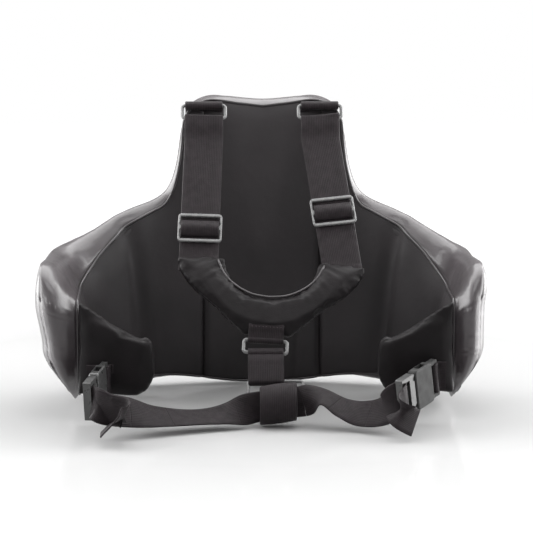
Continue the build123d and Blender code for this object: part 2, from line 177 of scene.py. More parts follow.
def sheet(name, grid, thick=SHEET, closed=False, flip=False):
    """A thin sewn sheet from a grid of points, shape (rows, columns, 3)."""
    rows, columns = grid.shape[:2]
    obj = new_mesh(name, grid.reshape(-1, 3), grid_faces(rows, columns, closed, flip))
    thicken(obj, thick)
    return obj


def tangents_along(path, closed=False):
    """Unit tangents of a path."""
    if closed:
        return unit(np.roll(path, -1, axis=0) - np.roll(path, 1, axis=0))
    return unit(np.gradient(path, axis=0))


def cord(name, path, radius, closed=False, sides=8):
    """A round cord along a path."""
    path = np.asarray(path, float)
    tangent = tangents_along(path, closed)
    reference = np.array([0.0, 0.35, 1.0]) + 0 * path
    along_z = np.abs(tangent[:, 2]) > 0.9
    reference[along_z] = (0.0, 1.0, 0.1)
    side = unit(np.cross(tangent, reference))
    for i in range(1, len(side)):
        if side[i] @ side[i - 1] < 0:
            side[i] = -side[i]
    up = np.cross(side, tangent)
    angle = np.linspace(0, 2 * pi, sides, endpoint=False)
    ring = side[:, None] * np.cos(angle)[:, None] + up[:, None] * np.sin(angle)[:, None]
    points = (path[:, None] + radius * ring).reshape(-1, 3)
    return new_mesh(name, points, tube_faces(len(path), sides, closed))


def ribbon(name, path, across, width, thick=WEB_THICK, closed=False, cup=0.0):
    """Flat webbing along a path. across is its width direction, one or one per point."""
    path = np.asarray(path, float)
    tangent = tangents_along(path, closed)
    across = np.broadcast_to(np.asarray(across, float), path.shape)
    across = unit(across - tangent * np.sum(across * tangent, axis=1, keepdims=True))
    normal = np.cross(tangent, across)
    half = width / 2
    edge = min(thick / 2, 0.9)
    lanes = np.linspace(-half + edge, half - edge, WEB_LANES)
    profile = [(-half, 0.0)] + [(x, thick / 2) for x in lanes] + [(half, 0.0)]
    profile += [(x, -thick / 2) for x in lanes[::-1]]
    count = len(profile)
    lane = np.array([x for x, _ in profile])
    level = np.array([h for _, h in profile]) + cup * (1 - (lane / half) ** 2)
    points = path[:, None] + across[:, None] * lane[:, None] + normal[:, None] * level[:, None]
    uv = np.stack([np.tile(lane, len(path)), np.repeat(run_length(path), count)], axis=1)
    return new_mesh(name, points.reshape(-1, 3), tube_faces(len(path), count, closed), uv)


def stitch_row(points, normal, long=2.6, gap=1.4, radius=0.45):
    """Points and faces of a row of small thread stitches lying on a surface."""
    path = curve_through(points, STITCH_STEPS)
    total = run_length(path)[-1]
    count = max(int(total / (long + gap)), 1)
    share = np.linspace(0, 1, STITCH_STEPS)
    angles = np.arange(STITCH_SIDES) * 2 * pi / STITCH_SIDES
    verts, faces = [], []
    for start in np.linspace(0, 1 - long / total, count):
        ends = (start, start + long / total)
        near, far = (np.array([np.interp(q, share, c) for c in path.T]) for q in ends)
        side = unit(np.cross(unit(far - near), normal))
        base = len(verts)
        ring = [(near + far) / 2 + radius * (side * cos(a) + np.asarray(normal) * sin(a)) for a in angles]
        verts += [near, *ring, far]
        for k in range(STITCH_SIDES):
            j = (k + 1) % STITCH_SIDES
            faces.append((base, base + 1 + j, base + 1 + k))
            faces.append((base + 1 + STITCH_SIDES, base + 1 + k, base + 1 + j))
    return verts, faces


def stitches(name, rows_of_points, normal):
    """One mesh of several stitch rows."""
    verts, faces = [], []
    for points in rows_of_points:
        v, f = stitch_row(points, normal)
        faces += [tuple(k + len(verts) for k in face) for face in f]
        verts += v
    return new_mesh(name, verts, faces)


# ---- materials -------------------------------------------
NOISE_LOW = 0.3  # most noise values lie between these two
NOISE_HIGH = 0.7


class Surface:
    """A principled material being built: small shortcuts for its node tree."""

    def __init__(self, name):
        self.material = bpy.data.materials.new(name)
        self.material.use_nodes = True
        self.tree = self.material.node_tree
        self.shader = self.tree.nodes["Principled BSDF"]
        self.bump_chain = None

    def node(self, kind, **values):
        made = self.tree.nodes.new(kind)
        for key, value in values.items():
            if key in made.inputs:
                made.inputs[key].default_value = value
            else:
                setattr(made, key, value)
        return made

    def set(self, name, value):
        self.shader.inputs[name].default_value = value

    def link(self, source, target):
        self.tree.links.new(source, target)

    def position(self, scale, uv=False):
        """Texture coordinates in units of `scale` millimetres."""
        coordinate = self.node("ShaderNodeTexCoord")
        mapping = self.node("ShaderNodeMapping")
        factor = (1 / np.asarray(scale, float)) * (1 if uv else 1000) * np.ones(3)
        mapping.inputs["Scale"].default_value = tuple(factor)
        self.link(coordinate.outputs["UV" if uv else "Object"], mapping.inputs["Vector"])
        return mapping.outputs["Vector"]

    def noise(self, scale, detail=3.0, uv=False):
        made = self.node("ShaderNodeTexNoise", Scale=1.0, Detail=detail)
        self.link(self.position(scale, uv), made.inputs["Vector"])
        return made.outputs["Fac"]

    def cells(self, scale):
        made = self.node("ShaderNodeTexVoronoi", Scale=1.0)
        self.link(self.position(scale), made.inputs["Vector"])
        return made.outputs["Distance"]

    def ribs(self, scale, direction, distortion=0.0):
        made = self.node("ShaderNodeTexWave", Scale=1.0, Distortion=distortion,
                         bands_direction=direction)
        self.link(self.position(scale, uv=True), made.inputs["Vector"])
        return made.outputs["Fac"]

    def spread(self, value, low, high):
        """A noise value stretched to low..high."""
        made = self.node("ShaderNodeMapRange")
        made.inputs["From Min"].default_value = NOISE_LOW
        made.inputs["From Max"].default_value = NOISE_HIGH
        made.inputs["To Min"].default_value = low
        made.inputs["To Max"].default_value = high
        self.link(value, made.inputs["Value"])
        return made.outputs["Result"]

    def colour(self, value, dark, light):
        ramp = self.node("ShaderNodeValToRGB")
        ramp.color_ramp.elements[0].position = NOISE_LOW
        ramp.color_ramp.elements[1].position = NOISE_HIGH
        ramp.color_ramp.elements[0].color = (*dark, 1)
        ramp.color_ramp.elements[1].color = (*light, 1)
        self.link(value, ramp.inputs["Fac"])
        self.link(ramp.outputs["Color"], self.shader.inputs["Base Color"])

    def roughness(self, value, low, high):
        self.link(self.spread(value, low, high), self.shader.inputs["Roughness"])

    def bump(self, value, depth):
        """Adds relief of `depth` millimetres on top of the relief so far."""
        made = self.node("ShaderNodeBump", Distance=depth / 1000, Strength=1.0)
        self.link(value, made.inputs["Height"])
        if self.bump_chain is not None:
            self.link(self.bump_chain, made.inputs["Normal"])
        self.bump_chain = made.outputs["Normal"]
        self.link(self.bump_chain, self.shader.inputs["Normal"])


def tinted(value, tint=0.0):
    """A grey of this value with a slight warm purple tint."""
    return (value * (1 + tint), value * (1 - 0.5 * tint), value * (1 + 0.2 * tint))


def leather(name, dark, light, gloss=(0.34, 0.5), wrinkle=0.5, shine=0.5, coat=0.0):
    """Satin artificial leather: pebble grain, soft wrinkles, rubbed colour, a glossy coat if asked."""
    s = Surface(name)
    s.colour(s.noise(45, 4), tinted(dark, 0.12), tinted(light, 0.12))
    s.roughness(s.noise(22, 4), *gloss)
    s.bump(s.noise(16, 3), wrinkle)
    s.bump(s.cells(1.7), 0.07)
    s.set("Specular IOR Level", shine)
    s.set("Coat Weight", coat)
    s.set("Coat Roughness", 0.16)
    return s.material


def lining_cloth(name, dark, light):
    """Matte coated lining with a fine close weave and faint creases."""
    s = Surface(name)
    s.colour(s.noise(60, 3), tinted(dark, 0.16), tinted(light, 0.16))
    s.roughness(s.noise(30, 3), 0.55, 0.72)
    s.bump(s.noise(28, 3), 0.9)
    s.bump(s.cells(0.9), 0.05)
    s.set("Specular IOR Level", 0.4)
    return s.material


def webbing_cloth(name, dark, light):
    """Woven polyester webbing: ribs across, a chevron along and fuzz."""
    s = Surface(name)
    s.colour(s.noise((9, 9, 9), 5, uv=True), tinted(dark, 0.22), tinted(light, 0.22))
    s.roughness(s.noise((12, 12, 12), 3, uv=True), 0.5, 0.68)
    s.bump(s.ribs(3.1, "Y", 1.5), 0.12)
    s.bump(s.ribs(7.0, "X", 0.6), 0.16)
    s.bump(s.noise((0.7, 1.6, 1.0), 2, uv=True), 0.12)
    s.set("Sheen Weight", 0.02)
    s.set("Specular IOR Level", 0.14)
    return s.material


def plastic(name, dark, light, gloss=(0.24, 0.38), shine=0.5):
    """Satin moulded plastic with faint flow marks and a fine moulded grain."""
    s = Surface(name)
    s.colour(s.noise(14, 3), tinted(dark), tinted(light))
    s.roughness(s.noise(8, 4), *gloss)
    s.bump(s.noise(3.0, 3), 0.05)
    s.set("Specular IOR Level", shine)
    return s.material


# The gusset band's copy of the black shell leather is painted lighter than the strike cover's copy:
# painted light standing in for the top light's broad highlight on the band's upward faces.
shell_leather = leather("shell_leather", 0.024, 0.038, gloss=(0.36, 0.5), coat=0.35)
pad_leather = leather("pad_leather", 0.004, 0.008, gloss=(0.42, 0.54), wrinkle=0.8, shine=0.1)
# The strike cover's copy of the same black shell leather, darker, without the painted highlight of the
# band's copy.
cover_leather = leather("strike_leather", 0.013, 0.021, gloss=(0.34, 0.46), shine=0.4, coat=0.35)
lining = lining_cloth("lining", 0.007, 0.013)
piping_leather = leather("piping", 0.015, 0.024, gloss=(0.3, 0.42), wrinkle=0.1)
webbing = webbing_cloth("webbing", 0.006, 0.011)
thread = webbing_cloth("thread", 0.03, 0.05)
buckle_plastic = plastic("buckle_plastic", 0.02, 0.032, gloss=(0.26, 0.38))
slider_plastic = plastic("slider_plastic", 0.09, 0.13, gloss=(0.22, 0.34))
socket_plastic = plastic("socket_plastic", 0.02, 0.03, gloss=(0.42, 0.55), shine=0.12)


def dress(obj, material):
    """Gives a piece its material."""
    obj.data.materials.clear()
    obj.data.materials.append(material)


def place(obj, material, slot, body, *stands_for):
    """Dresses a piece, lets it ride on a body and hides the CAD nodes it stands for."""
    dress(obj, material)
    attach(obj, body)
    if stands_for:
        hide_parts(*stands_for)


# ---- shell: plan curve and outline -----------------------
END = 401.5  # length of half the wall, middle to free end
# The lining's top seam, (distance along the wall, height): flap top, flap side, belly, flank.
TOP_SEAM = [(0, 375), (34, 379), (68, 383), (92, 375), (103, 360), (106, 345), (107.5, 325),
            (111, 300), (117, 275), (124, 257), (133, 245), (150, 237), (173, 226), (198, 210),
            (229, 188), (251, 171), (274, 158), (300, 151), (340, 150), (END + 20, 150)]
TOP_CORNER = 16.0  # radii of the free end's corners
OUTER_CORNER = 40.0
FOOT_CORNER = 42.0
HEM_LOW = 7.0  # height of the hem seam in front
PANEL_SEAM = 78.0  # lining seams, each side of the middle
CREASE = 172.0  # soft crease where the flank starts
BELLY_START = 105.0  # the wall grows thicker from here
UPRIGHT = 150.0  # upright channels of the strike side
WAIST_CHANNEL = 262.0  # heights of its level channels
BELLY_CHANNEL = 150.0
FLAP_SHIFT = 1.5  # the flap leans a little to the right


def plan_curve():
    """Dense points and outward normals of the lining's plan, from the middle past the free end."""
    angle = np.linspace(pi / 2, 0, 240)
    front = np.stack([HALF_WIDTH * np.cos(angle), ELLIPSE_Y + DEPTH * np.sin(angle)], axis=1)
    drop = np.linspace(0, 1, 80)[1:, None]
    past_end = np.array([END_HALF_WIDTH - 2, END_Y - 60])
    flank = front[-1] * (1 - drop) + past_end * drop
    points = np.vstack([front, flank])
    tangent = unit(np.gradient(points, axis=0))
    normal = np.stack([-tangent[:, 1], tangent[:, 0]], axis=1)
    return points, normal, run_length(points)


plan_points, plan_normals, plan_length = plan_curve()


def wall_point(along, height, out):
    """Space points of wall coordinates: along the plan, height, distance outside the lining."""
    along, height, out = np.broadcast_arrays(along, height, out)
    side = np.where(along < 0, -1.0, 1.0)
    at = np.abs(along)
    x = np.interp(at, plan_length, plan_points[:, 0])
    y = np.interp(at, plan_length, plan_points[:, 1])
    flap = smooth_step((height - 225) / 40) * (1 - smooth_step((at - 150) / 60))
    nx = np.interp(at, plan_length, plan_normals[:, 0]) * (1 - flap)
    ny = np.interp(at, plan_length, plan_normals[:, 1])
    return np.stack([side * (x + out * nx) + FLAP_SHIFT * flap, y + out * ny, height + 0 * x], axis=-1)


def corner_drop(along, radius):
    """How far a rounded corner of this radius pulls the edge in, near the free end."""
    past = np.clip(np.abs(along) - (END - radius), 0, radius)
    return radius - np.sqrt(radius**2 - past**2)


top_line = curve_through(TOP_SEAM, 600)


def top_height(along, corner=TOP_CORNER):
    """Height of the lining's top seam, rounded off at the free end."""
    return np.interp(np.abs(along), top_line[:, 0], top_line[:, 1]) - corner_drop(along, corner)


def hem_height(along):
    """Height of the lining's hem seam: low in front, rising towards the free ends."""
    at = np.abs(along)
    rise = HEM_LOW + 11 * smooth_step((at - 20) / 110) + 14 * (at / END) ** 2
    return rise + corner_drop(along, FOOT_CORNER)


def column_positions(count):
    """Positions along the wall, evenly spaced along the top seam, both halves."""
    at = np.linspace(0, END, 3000)
    length = run_length(np.stack([at, top_height(at)], axis=1))
    half = np.interp(np.linspace(0, length[-1], count), length, at)
    half[np.argmin(np.abs(half - PANEL_SEAM))] = PANEL_SEAM
    return np.concatenate([-half[:0:-1], half])


COLUMNS = column_positions(190)
ROWS = 72
row_share = np.linspace(0, 1, ROWS)
row_share = 0.5 * row_share + 0.5 * (0.5 - 0.5 * np.cos(pi * row_share))
along_grid = np.tile(COLUMNS, (ROWS, 1))
hem_row = hem_height(COLUMNS)
top_row = top_height(COLUMNS)
height_grid = hem_row + (top_row - hem_row) * row_share[:, None]


def border(grid):
    """The grid's edge as one closed loop: top, right end, hem, left end."""
    return np.concatenate([grid[-1], grid[-2:0:-1, -1], grid[0, ::-1], grid[1:-1, 0]])


inner_loop = np.stack([border(along_grid), border(height_grid)], axis=1)
tree = kdtree.KDTree(len(inner_loop))
for index, (a, h) in enumerate(inner_loop):
    tree.insert((a, h, 0), index)
tree.balance()
edge_distance = np.array([[tree.find((a, h, 0))[2] for a, h in zip(ra, rh)]
                          for ra, rh in zip(along_grid, height_grid)])


def groove(distance, width):
    """A stitched channel's depth share, 1 on the seam and 0 a few widths away."""
    return np.exp(-((distance / width) ** 2))


# ---- shell: lining ---------------------------------------
PILLOW = 7.0  # depths of the lining's relief
CHANNEL_DEPTH = 5.5
CREASE_DEPTH = 7.0
SHORT_CREASE_DEPTH = 3.0


def lining_depth():
    """How far the lining stands towards the wearer: soft pillow, channels and creases."""
    pillow = PILLOW * (1 - np.exp(-edge_distance / 16))
    flank = smooth_step((np.abs(along_grid) - 150) / 60)
    pillow += 3.0 * flank * (1 - np.exp(-edge_distance / 30))
    low_part = smooth_step((250 - height_grid) / 40)
    channel = groove(np.abs(along_grid) - PANEL_SEAM, 4.5) * (0.35 + 0.65 * low_part)
    slant = np.abs(along_grid) - CREASE - 0.12 * (height_grid - 120)
    crease = groove(slant, 13) * low_part
    short_slant = along_grid - 48 - 0.1 * (height_grid - 60)
    short_crease = groove(short_slant, 3.5) * smooth_step((105 - height_grid) / 25)
    ripple = 0.8 * np.sin(height_grid / 31 + along_grid / 55) * (1 - np.exp(-edge_distance / 40))
    pressed_in = CHANNEL_DEPTH * channel + CREASE_DEPTH * crease + SHORT_CREASE_DEPTH * short_crease
    return pillow - pressed_in + ripple


lining_grid = wall_point(along_grid, height_grid, -lining_depth())
seam_columns = [int(np.argmin(np.abs(COLUMNS - at))) for at in (-PANEL_SEAM, PANEL_SEAM)]
for label, first, last in (("lining_left", 0, seam_columns[0]),
                           ("lining_centre", seam_columns[0], seam_columns[1]),
                           ("lining_right", seam_columns[1], len(COLUMNS) - 1)):
    panel = sheet(label + "_sewn", lining_grid[:, first:last + 1])
    place(panel, lining, "lining", "shell", label)

# ---- shell: strike cover ---------------------------------
def lift(along):
    """How much higher the outer seam runs than the inner one."""
    at = np.abs(along)
    return 6 + 37 * smooth_step((at - 185) / 105)


END_ROUNDING = 8.0  # the outer seam moves out to the contour at the free ends


def end_share(along):
    """0 along most of the wall, 1 at its free ends."""
    return smooth_step((np.abs(along) - 280) / 100)


def seam_out(along, height):
    """Distance of the outer seam outside the lining: thinner on the flap and at the flank's foot."""
    at = np.abs(along)
    belly = 30 + 8 * smooth_step((at - BELLY_START) / 50) + END_ROUNDING * end_share(along)
    foot = smooth_step((height - 22) / 70)
    taper = smooth_step((at - 230) / 120)
    return belly * (1 - taper * (1 - foot) * 0.6)


def slimming(along, height):
    """How much thinner the flanks are at their foot; the right one is pressed thinner all over."""
    left = 9 * smooth_step((150 - height) / 60) * smooth_step((-along - 200) / 60)
    right = (9 + 4 * smooth_step((180 - height) / 45)) * smooth_step((along - 200) / 60)
    return left + right


outer_top = top_height(COLUMNS, OUTER_CORNER) + lift(COLUMNS)
outer_height = hem_row + (outer_top - hem_row) * row_share[:, None]


STRIKE_CHANNEL = 6.0  # depth and width of the strike side's channels


def cover_depth():
    """Distance of the strike cover outside the lining."""
    near_edge = 1 - np.exp(-edge_distance / 13)
    at = np.abs(along_grid)
    full = 14 + 2 * smooth_step((at - BELLY_START) / 50) - END_ROUNDING * end_share(along_grid)
    waist = groove(outer_height - WAIST_CHANNEL, STRIKE_CHANNEL) * smooth_step((128 - at) / 8)
    upright = groove(at - UPRIGHT, STRIKE_CHANNEL)
    belly = groove(outer_height - BELLY_CHANNEL, STRIKE_CHANNEL) * smooth_step((UPRIGHT - at) / 6)
    soft = 1.2 * np.sin(along_grid / 37) * np.sin(outer_height / 41)
    channels = STRIKE_CHANNEL * np.maximum(np.maximum(waist, upright), belly)
    edge = seam_out(along_grid, outer_height) - slimming(along_grid, outer_height)
    return edge + near_edge * (full + soft - channels)


cover_grid = wall_point(along_grid, outer_height, cover_depth())
strike_cover = sheet("outer_cover_sewn", cover_grid, flip=True)
place(strike_cover, cover_leather, "shell_leather", "shell", "outer_cover")

# ---- shell: foam layers ----------------------------------
FOAM_CLEAR = 3  # from the foam to either cover
THINNEST_WALL = 9
FOAM_EVERY = 4  # the foam uses every fourth column


def foam_slab(name, near, far, node):
    """A closed foam layer between two shares of the wall thickness, just inside the covers."""
    inset_rows = np.linspace(0.03, 0.97, 30)
    columns = COLUMNS[FOAM_EVERY:-FOAM_EVERY:FOAM_EVERY]
    height = hem_height(columns) + (top_height(columns) - hem_height(columns)) * inset_rows[:, None]
    along = np.tile(columns, (len(inset_rows), 1))
    total = np.maximum(seam_out(along, height) - slimming(along, height), THINNEST_WALL)
    thick = total - 2 * FOAM_CLEAR
    faces = [wall_point(along, height, FOAM_CLEAR + thick * share) for share in (near, far)]
    rows, count = along.shape
    points = np.concatenate([faces[0].reshape(-1, 3), faces[1].reshape(-1, 3)])
    quads = grid_faces(rows, count)
    size = rows * count
    quads += [tuple(k + size for k in quad[::-1]) for quad in grid_faces(rows, count)]
    rim = border(np.arange(size).reshape(rows, count)).tolist()
    for a, b in zip(rim, rim[1:] + rim[:1]):
        quads.append((a, b, b + size, a + size))
    slab = new_mesh(name, points, quads)
    place(slab, lining, "foam", "shell", node)


foam_slab("comfort_foam_layer", 0.0, 0.3, "comfort_foam")
foam_slab("impact_foam_layer", 0.32, 1.0, "impact_foam")

# ---- shell: gusset band ----------------------------------
outer_loop = np.stack([border(along_grid), border(outer_height)], axis=1)
inner_out = -border(lining_depth())
outer_out = border(cover_depth())
CROWN = 4.0  # how far the band bulges on the flap, and how much more along the belly
CROWN_MORE = 8.0
GATHER_DEPTH = 0.9
NORMAL_PASSES = 40  # smoothing of the crown's direction at the corners
LOOP_PASSES = 90  # smoothing of the band's middle along the loop
loop_tangent = tangents_along(inner_loop, closed=True)
loop_normal = np.stack([-loop_tangent[:, 1], loop_tangent[:, 0]], axis=1)
for _ in range(NORMAL_PASSES):
    loop_normal = unit(loop_normal + np.roll(loop_normal, 1, axis=0) + np.roll(loop_normal, -1, axis=0))


def smoothed(values):
    """Values round the closed loop, averaged with their neighbours many times over."""
    for _ in range(LOOP_PASSES):
        values = (np.roll(values, 1, axis=0) + 2 * values + np.roll(values, -1, axis=0)) / 4
    return values


def gusset_grid(steps=11):
    """Rows from the lining seam to the strike seam, crowned outwards and gathered at the outer seam."""
    count = len(inner_loop)
    gathers = wander(count, 3.2, closed=True) * (0.6 + 0.4 * wander(count, 30, closed=True))
    slow = wander(count, 24, closed=True)
    upper = smooth_step((np.abs(inner_loop[:, 0]) - 110) / 60)
    foot = smooth_step((np.abs(inner_loop[:, 0]) - 330) / 40) * smooth_step((75 - inner_loop[:, 1]) / 40)
    lean = 1 + 0.5 * end_share(inner_loop[:, 0])
    rows = []
    for t in np.linspace(0, 1, steps):
        crown = (CROWN + CROWN_MORE * upper) * np.sin(pi * t**lean) * (1 + 0.05 * slow)
        crown = crown * (1 - 0.6 * foot)
        flat = inner_loop * (1 - t) + outer_loop * t + loop_normal * crown[:, None]
        out = inner_out * (1 - t) + outer_out * t
        soft = abs(sin(pi * t)) ** 0.6
        flat = flat * (1 - soft) + smoothed(flat) * soft
        out = out * (1 - soft) + smoothed(out) * soft
        pleats = GATHER_DEPTH * gathers * upper * t * t * (1 - t) * 4
        flat = flat + loop_normal * pleats[:, None]
        rows.append(wall_point(flat[:, 0], flat[:, 1], out))
    return np.array(rows)


gusset = sheet("gusset_band_sewn", gusset_grid(), closed=True)
# The band takes the copy of the shell leather painted lighter, a painted highlight for the top light on
# its upward faces.
place(gusset, shell_leather, "shell_leather", "shell", "gusset_band")

CORD_RADIUS = 1.7
CORD_LIFT = 0.6  # how far the cord stands off the seam
seam_line = wall_point(inner_loop[:, 0], inner_loop[:, 1], inner_out)
raised = inner_loop + loop_normal
raised_line = wall_point(raised[:, 0], raised[:, 1], inner_out)
cord_line = seam_line + CORD_LIFT * (raised_line - seam_line)
piping = cord("seam_piping_cord", cord_line, CORD_RADIUS, closed=True)
place(piping, piping_leather, "piping", "shell", "seam_piping")

# ---- harness plane ---------------------------------------
DOWN = np.array([0.0, -sin(HARNESS_LEAN), -cos(HARNESS_LEAN)])
TO_WEARER = np.array([0.0, -cos(HARNESS_LEAN), sin(HARNESS_LEAN)])
ACROSS = np.array([1.0, 0.0, 0.0])


def on_slope(x, along, level=0.0):
    """A point in the harness plane: x, distance down the slope, height towards the wearer."""
    x, along, level = np.broadcast_arrays(x, along, level)
    return HARNESS_ORIGIN + np.stack([x, 0 * x, 0 * x], axis=-1) + along[..., None] * DOWN \
        + level[..., None] * TO_WEARER


def bar_wrap(along, level, radius, start, stop, count=9):
    """(along, level) pairs round a bar, angles in degrees from down the slope towards the wearer."""
    return [(along + radius * cos(a), level + radius * sin(a))
            for a in np.radians(np.linspace(start, stop, count))]


for side, sign in SIDES:
    # Ring tab: from the flap's top edge over the upper bar and back.
    x = sign * RING_X
    over = [(x, 112, 371), (x, 103, 378.5), (x, 95, 381.2), (x, 89.5, 381.4), (x, 86, 378.5),
            (x, 86.2, 374.8), (x, 89.5, 372.6), (x, 95, 373), (x, 103, 371.5), (x, 110, 366)]
    tab = ribbon(f"{side}_ring_tab_web", curve_through(over, 60), ACROSS, SHOULDER_WEB - 1)
    place(tab, webbing, "webbing", "shell", f"{side}_ring_tab")

STRAP_LEVEL = -3.4
BAR_WRAP = 3.6  # webbing's middle to the bar's middle where it goes round one
SLIDER_AT = {"left": 181.0, "right": 157.0}
FOOT_X = {"left": -83.0, "right": 99.0}
FOOT_AT = {"left": 232.0, "right": 243.0}
STRAIGHT_FROM = LOW_BAR + 30
ARM_END_SLOPE = 0.22  # slant of the strap's end, sewn along the yoke's arm


def strap_x(side, sign, along):
    """Middle of a shoulder strap at a distance down the slope."""
    share = np.clip((along - STRAIGHT_FROM) / (FOOT_AT[side] - STRAIGHT_FROM), 0, 1.2)
    return sign * RING_X + share * (FOOT_X[side] - sign * RING_X)


for side, sign in SIDES:
    slider = SLIDER_AT[side]
    profile = [(62, -5.6), (44, -5.2), (28, -3.9)]
    profile += bar_wrap(LOW_BAR, 0, BAR_WRAP, 255, 105)
    profile += [(30, 1.6), (44, -2.4), (60, STRAP_LEVEL)]
    profile += [(along, STRAP_LEVEL) for along in np.linspace(80, FOOT_AT[side] - 16, 6)]
    profile += [(FOOT_AT[side] - 6, -2.8), (FOOT_AT[side] + 9, -3.0)]
    line = curve_through(profile, 220)
    path = on_slope(strap_x(side, sign, line[:, 0]), line[:, 0], line[:, 1])
    lean = (FOOT_X[side] - sign * RING_X) / (FOOT_AT[side] - STRAIGHT_FROM)
    sewn = smooth_step((line[:, 0] - FOOT_AT[side] + 35) / 30)[:, None]
    slant = lean * (1 - sewn) - sign * ARM_END_SLOPE * sewn
    strap = ribbon(f"{side}_shoulder_strap_web", path, ACROSS - slant * DOWN, SHOULDER_WEB)
    place(strap, webbing, "webbing", "harness", f"{side}_shoulder_strap")

    hump = [(-10, -1.4), (-9, 0.9), (-6, 3.0), (-2, 4.9), (2, 5.0), (6, 3.3), (9, 1.0), (10.5, -1.4)]
    line = curve_through(hump, 40)
    path = on_slope(strap_x(side, sign, slider + line[:, 0]), slider + line[:, 0], line[:, 1])
    loop = ribbon(f"{side}_slider_loop_web", path, ACROSS - lean * DOWN, SHOULDER_WEB - 1.5)
    place(loop, webbing, "webbing", f"{side}_slider", f"{side}_slider_loop")


# ---- padded pieces ---------------------------------------
def pad_body(name, outline, to_space, thick):
    """A closed slab with this outline; to_space turns (x, y, level) rows into space points."""
    count = len(outline)
    levels = [np.column_stack([outline, np.full(count, h)]) for h in (-thick / 2, thick / 2)]
    points = to_space(np.vstack(levels))
    faces = [tuple(range(count))[::-1], tuple(range(count, 2 * count))]
    faces += [(k, (k + 1) % count, count + (k + 1) % count, count + k) for k in range(count)]
    return new_mesh(name, points, faces)


CLOTH_FRAMES = 20


def inflate(obj, voxel, pressure, travel):
    """Cloth simulation under inner pressure, then each point's travel capped at `travel` millimetres."""
    remesh = obj.modifiers.new("remesh", "REMESH")
    remesh.mode = "VOXEL"
    remesh.voxel_size = voxel / 1000
    apply_modifiers(obj)
    rest = np.array([v.co for v in obj.data.vertices])
    cloth = obj.modifiers.new("inflate", "CLOTH")
    cloth.settings.quality = 5
    cloth.settings.mass = 0.3
    cloth.settings.tension_stiffness = 18
    cloth.settings.compression_stiffness = 18
    cloth.settings.bending_stiffness = 0.4
    cloth.settings.use_pressure = True
    cloth.settings.uniform_pressure_force = pressure
    cloth.settings.effector_weights.gravity = 0
    cloth.point_cache.frame_start = 1
    cloth.point_cache.frame_end = CLOTH_FRAMES
    scene = bpy.context.scene
    for number in range(1, CLOTH_FRAMES + 1):
        scene.frame_set(number)
    apply_modifiers(obj)
    scene.frame_set(1)
    moved = np.array([v.co for v in obj.data.vertices]) - rest
    length = np.linalg.norm(moved, axis=1, keepdims=True)
    moved *= np.minimum(1, travel / 1000 / np.maximum(length, 1e-9))
    return rest, moved


def settle(obj, rest, moved, gather=None):
    """Writes the inflated points, with optional gathers along the normals, and subdivides once."""
    obj.data.vertices.foreach_set("co", (rest + moved).ravel())
    obj.data.update()
    if gather is not None:
        normals = np.array([v.normal for v in obj.data.vertices])
        points = rest + moved
        obj.data.vertices.foreach_set("co", (points + normals * gather(points)[:, None]).ravel())
    smooth = obj.modifiers.new("smooth", "SUBSURF")
    smooth.levels = 1
    smooth.render_levels = 1
    apply_modifiers(obj)
    obj.data.polygons.foreach_set("use_smooth", [True] * len(obj.data.polygons))


# ---- yoke ------------------------------------------------
YOKE_TURN = radians(-4)
YOKE_ORIGIN = on_slope(5.0, 285.0)
YOKE_X = cos(YOKE_TURN) * ACROSS - sin(YOKE_TURN) * DOWN
YOKE_Y = np.cross(TO_WEARER, YOKE_X)
YOKE_LEVEL = -2.1
YOKE_THICK = 10.0
NECK_POINTS = 14
NECK_CENTRE = 95.0  # middle of the neck's curve, up the yoke
NECK_RADIUS = 88.0


def on_yoke(points):
    """Space points of (x, y, level) rows in the yoke's own plane."""
    points = np.asarray(points, float)
    return YOKE_ORIGIN + points[:, :1] * YOKE_X + points[:, 1:2] * YOKE_Y \
        + (points[:, 2:] + YOKE_LEVEL) * TO_WEARER


def yoke_half():
    """Right half of the yoke's outline, from the neck's middle round to the foot's middle."""
    neck = curve_through([(0, 11), (22, 14), (43, 25), (58, 40), (67, 59)], NECK_POINTS)
    arm = curve_through([(67, 59), (95, 56), (126, 49)], 8)
    flank = curve_through([(126, 49), (118, 30), (100, 9), (77, -11), (53, -31), (28, -48)], 16)
    foot = np.array([(0, -44)])
    return np.vstack([neck[:-1], arm[:-1], flank, foot])


def yoke_gather(points):
    """Radial gathers along the neck edge and small ones at the strap ends."""
    local = (points * 1000 + HEM_MIDDLE) - YOKE_ORIGIN
    x, y = local @ YOKE_X, local @ YOKE_Y
    angle = np.arctan2(x, NECK_CENTRE - y)
    radius = np.hypot(x, NECK_CENTRE - y)
    neck = groove(radius - NECK_RADIUS, 16)
    pleat = np.sin(angle * 43) + 0.8 * np.sin(angle * 67 + 1.3)
    arms = smooth_step((np.abs(x) - 60) / 30)
    ripple = np.sin(x / 4.6) * arms * groove(y - 42, 12)
    low = groove(y + 38, 10) * np.sin(x / 3.9)
    return (0.6 * neck * pleat + 0.4 * ripple + 0.4 * low) / 1000


right_half = yoke_half()
outline = np.vstack([right_half, (right_half * (-1, 1))[-2:0:-1]])
yoke = pad_body("yoke_pad", outline, on_yoke, YOKE_THICK)
settle(yoke, *inflate(yoke, 3.2, 6.0, 9.0), gather=yoke_gather)
place(yoke, pad_leather, "pad_leather", "harness", "yoke_back_cover", "yoke_foam", "yoke_front_cover")

neck = right_half[:NECK_POINTS]
neck_line = np.vstack([neck[::-1] * (-1, 1), neck[1:]])
neck_path = np.column_stack([neck_line, np.zeros(len(neck_line))]) + (0, -6.4, 6.2)
neck_cord = cord("yoke_piping_cord", on_yoke(neck_path), 1.5)
place(neck_cord, piping_leather, "piping", "harness", "yoke_piping")

# ---- centre strap ----------------------------------------
RING_A = on_yoke([(-1, -53, 2.1)])[0]
RING_A_LOW = RING_A - 17 * YOKE_Y
STRAP_TOP = np.array([0.0, RING_A_LOW[1], RING_A_LOW[2]])
STRAP_RUN = 38.0  # between the bars of the upper and lower ring
TAB_BEND = 3.6
STRAP_BEND = 4.6


